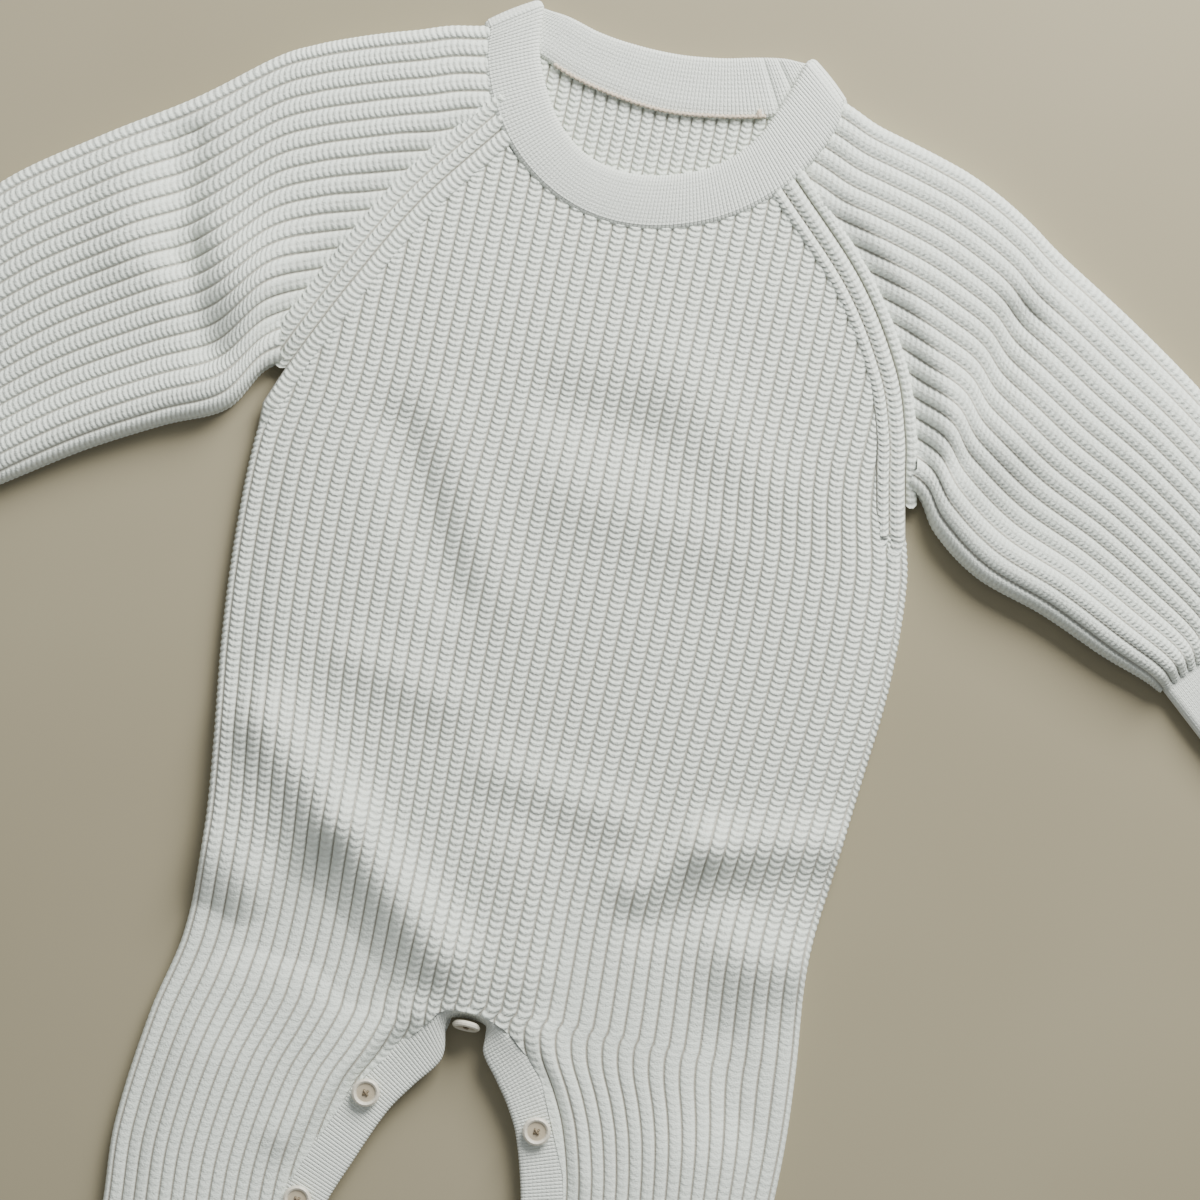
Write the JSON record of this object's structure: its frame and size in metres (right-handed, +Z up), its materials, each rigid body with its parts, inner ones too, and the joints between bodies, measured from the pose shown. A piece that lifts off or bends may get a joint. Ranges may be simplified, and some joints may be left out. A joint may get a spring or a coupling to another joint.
{
  "type": "baby romper",
  "caption": "Long-sleeved baby romper in chunky rib knit, laid flat, with fine rib neck, cuffs and a buttoned band over the crotch and down both legs.",
  "frame": {"origin": "middle of the outline, on the surface that the romper lies on", "axes": "+Z up from the surface and out of the front, +Y from the legs to the neck, +X to the right as seen from above"},
  "size_m": [0.611, 0.6004, 0.0158],
  "materials": {
    "rib_knit": "soft ivory yarn in a chunky rib, matt with a light fuzz",
    "fine_rib": "the same ivory yarn in a fine one by one rib, doubled",
    "button": "satin cream plastic with a raised rim"
  },
  "bodies": {
    "root": {"front_panel": "rib_knit", "back_panel": "rib_knit", "left_sleeve": "rib_knit", "right_sleeve": "rib_knit", "left_sleeve_cuff": "fine_rib", "right_sleeve_cuff": "fine_rib", "left_leg_cuff": "fine_rib", "right_leg_cuff": "fine_rib", "front_button_band": "fine_rib", "back_button_band": "fine_rib", "neck_band": "fine_rib", "button_crotch": "button", "button_left_1": "button", "button_left_2": "button", "button_left_3": "button", "button_left_4": "button", "button_right_1": "button", "button_right_2": "button", "button_right_3": "button", "button_right_4": "button"}
  },
  "joints": []
}
